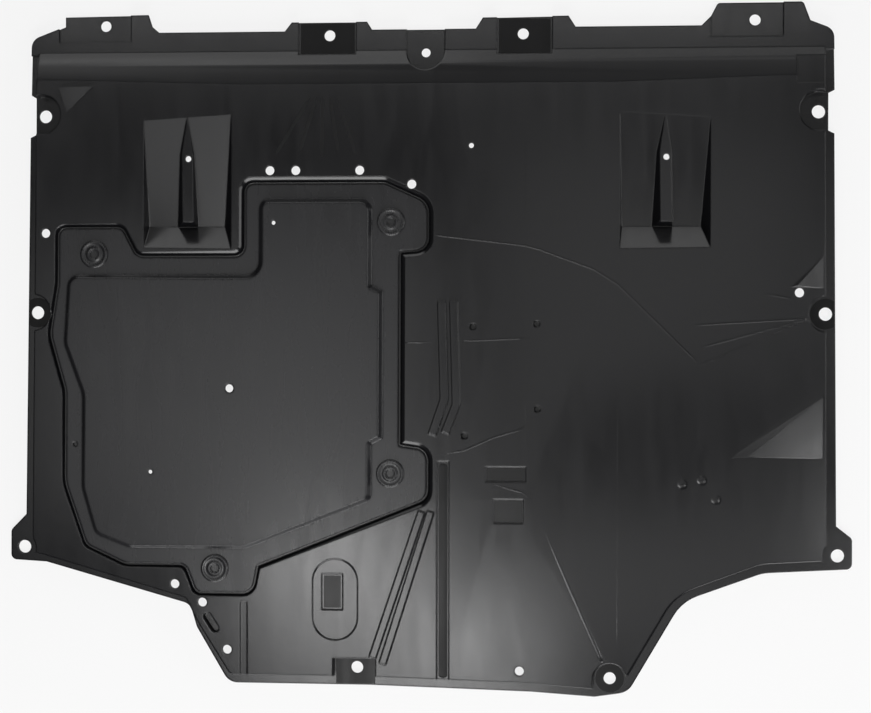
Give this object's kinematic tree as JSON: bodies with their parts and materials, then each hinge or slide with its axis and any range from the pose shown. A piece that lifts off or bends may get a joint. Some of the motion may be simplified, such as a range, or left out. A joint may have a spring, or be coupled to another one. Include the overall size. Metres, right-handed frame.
{
  "type": "engine splash shield",
  "caption": "Moulded plastic engine splash shield with a raised deck, wedge ducts, cupped bolt seats and a lidded service opening.",
  "frame": {"origin": "centre of the bounding box, on the mounting plane", "axes": "+X across the car, +Y towards the front edge with the four tabs, +Z out of the road face; laid down road face up"},
  "size_m": [0.843, 0.687, 0.0245],
  "materials": {
    "shield_moulding": "satin, as moulded",
    "lid_moulding": "satin, a little greyer than the shield",
    "stud_nylon": "smooth black",
    "clip_steel": "zinc plated"
  },
  "bodies": {
    "root": {"splash_shield": "shield_moulding", "access_panel": "lid_moulding", "fastener_1_stud": "stud_nylon", "fastener_2_stud": "stud_nylon", "fastener_3_stud": "stud_nylon", "fastener_4_stud": "stud_nylon", "fastener_1_clip": "clip_steel", "fastener_2_clip": "clip_steel", "fastener_3_clip": "clip_steel", "fastener_4_clip": "clip_steel"}
  },
  "joints": []
}
